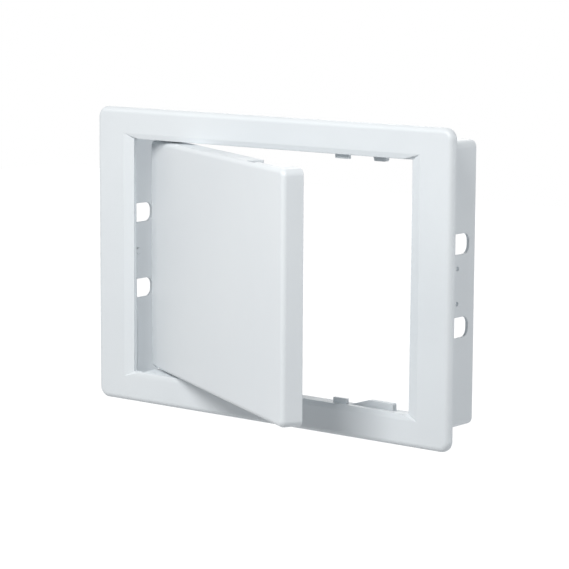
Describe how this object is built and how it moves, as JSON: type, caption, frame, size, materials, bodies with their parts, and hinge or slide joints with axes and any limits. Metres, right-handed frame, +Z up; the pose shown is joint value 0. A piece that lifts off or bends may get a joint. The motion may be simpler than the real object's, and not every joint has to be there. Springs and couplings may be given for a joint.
{
  "type": "ceiling access panel",
  "caption": "White plastic access panel: a flat bevelled border with a slotted sleeve behind it and a hinged tray door that stands ajar.",
  "frame": {"origin": "middle of the opening, on the plane of the wall or ceiling surface that the border lies on", "axes": "+X along the border's long side towards the door's free edge, +Z up the border's short side, +Y into the wall; the front faces -Y"},
  "size_m": [0.318, 0.1444, 0.218],
  "materials": {
    "frame_white": "satin moulded white plastic",
    "door_white": "satin moulded white plastic",
    "pin_white": "smooth natural white plastic"
  },
  "bodies": {
    "frame": {"face_frame": "frame_white", "collar_top": "frame_white", "collar_bottom": "frame_white", "collar_left": "frame_white", "collar_right": "frame_white", "collar_lug": "frame_white", "hinge_block_top": "frame_white", "hinge_block_bottom": "frame_white", "stop_tab_top": "frame_white", "stop_tab_bottom": "frame_white", "catch_top": "frame_white", "catch_bottom": "frame_white"},
    "door": {"door_panel": "door_white", "door_stiffener": "door_white", "hinge_pin_top": "pin_white", "hinge_pin_bottom": "pin_white"}
  },
  "joints": [
    {"name": "door_swing", "type": "hinge", "parent": "frame", "child": "door", "pos_m": [-0.0905, 0.006, 0], "axis": [0, 0, -1], "range_deg": [-28, 122]}
  ]
}
